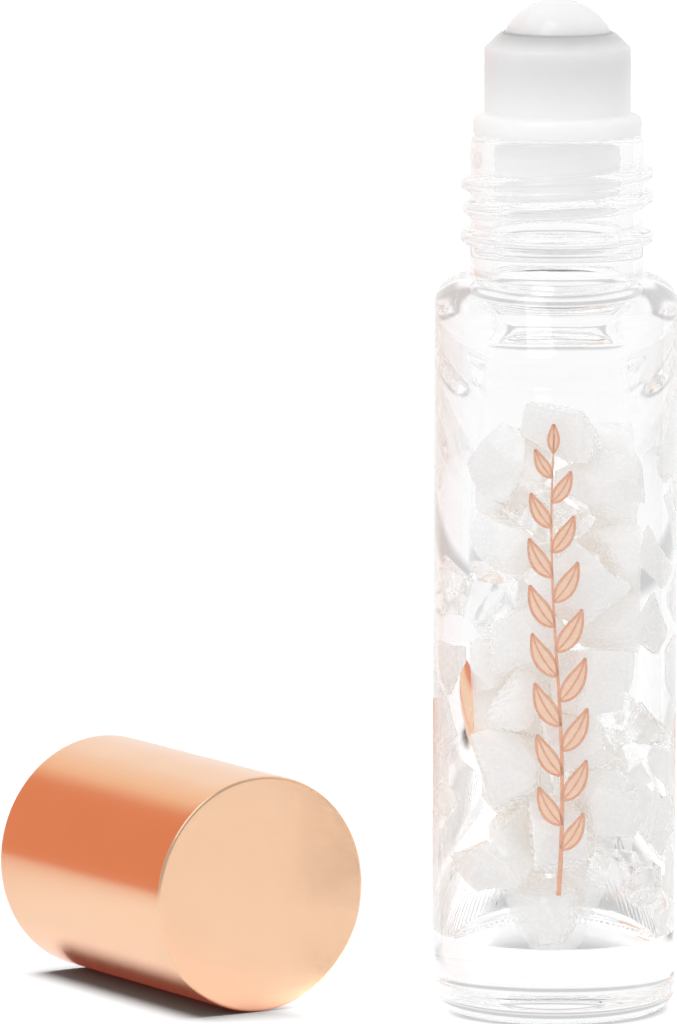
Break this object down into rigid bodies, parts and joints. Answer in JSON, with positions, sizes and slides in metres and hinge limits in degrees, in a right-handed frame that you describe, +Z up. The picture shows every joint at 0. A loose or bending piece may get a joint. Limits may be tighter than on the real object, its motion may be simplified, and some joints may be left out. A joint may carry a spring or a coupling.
{
  "type": "essential oil bottle",
  "caption": "Slim clear glass roll-on oil bottle with quartz chips inside, a roller ball in a push-in fitment, and its rose gold metal screw cap lying beside it.",
  "frame": {"origin": "middle of the footprint of the standing bottle and the cap beside it, on the surface they stand on; the bottle's axis is at X 10.85 mm, Y -13.2 mm", "axes": "+Z up the bottle's axis, towards the ball; the cap lies along Y with its closed end towards -Y, on the bottle's -X side"},
  "size_m": [0.0418, 0.0464, 0.0836],
  "materials": {
    "clear_glass": "clear, fire polished",
    "fitment_plastic": "milky translucent polyethylene, soft gloss",
    "ball_white": "milky white, polished",
    "rose_gold_metal": "rose gold anodised, satin gloss",
    "liner_plastic": "white moulded polypropylene",
    "quartz": "milky, broken and tumbled faces"
  },
  "bodies": {
    "bottle": {"glass_bottle": "clear_glass", "quartz_chip_01": "quartz", "quartz_chip_02": "quartz", "quartz_chip_03": "quartz", "quartz_chip_04": "quartz", "quartz_chip_05": "quartz", "quartz_chip_06": "quartz", "quartz_chip_07": "quartz", "quartz_chip_08": "quartz", "quartz_chip_09": "quartz", "quartz_chip_10": "quartz", "quartz_chip_11": "quartz", "quartz_chip_12": "quartz", "quartz_chip_13": "quartz", "quartz_chip_14": "quartz", "quartz_chip_15": "quartz", "quartz_chip_16": "quartz", "quartz_chip_17": "quartz", "quartz_chip_18": "quartz", "quartz_chip_19": "quartz", "quartz_chip_20": "quartz", "quartz_chip_21": "quartz", "quartz_chip_22": "quartz", "quartz_chip_23": "quartz", "quartz_chip_24": "quartz", "quartz_chip_25": "quartz", "quartz_chip_26": "quartz", "quartz_chip_27": "quartz", "quartz_chip_28": "quartz", "quartz_chip_29": "quartz", "quartz_chip_30": "quartz", "quartz_chip_31": "quartz", "quartz_chip_32": "quartz", "quartz_chip_33": "quartz", "quartz_chip_34": "quartz", "quartz_chip_35": "quartz", "quartz_chip_36": "quartz", "quartz_chip_37": "quartz", "quartz_chip_38": "quartz", "quartz_chip_39": "quartz", "quartz_chip_40": "quartz", "quartz_chip_41": "quartz", "quartz_chip_42": "quartz", "quartz_chip_43": "quartz", "quartz_chip_44": "quartz", "quartz_chip_45": "quartz", "quartz_chip_46": "quartz"},
    "fitment": {"roller_housing": "fitment_plastic"},
    "ball": {"roller_ball": "ball_white"},
    "cap": {"cap_shell": "rose_gold_metal", "cap_liner": "liner_plastic"}
  },
  "joints": [
    {"name": "fitment_pull", "type": "slide", "parent": "bottle", "child": "fitment", "axis": [0, 0, 1], "range_m": [0, 0.03]},
    {"name": "ball_roll", "type": "hinge", "parent": "fitment", "child": "ball", "pos_m": [0.01085, -0.0132, 0.0787], "axis": [1, 0, 0], "continuous": true},
    {"name": "cap_lift", "type": "slide", "parent": "bottle", "child": "cap", "axis": [0, 0, 1], "range_m": [0, 0.09]}
  ]
}
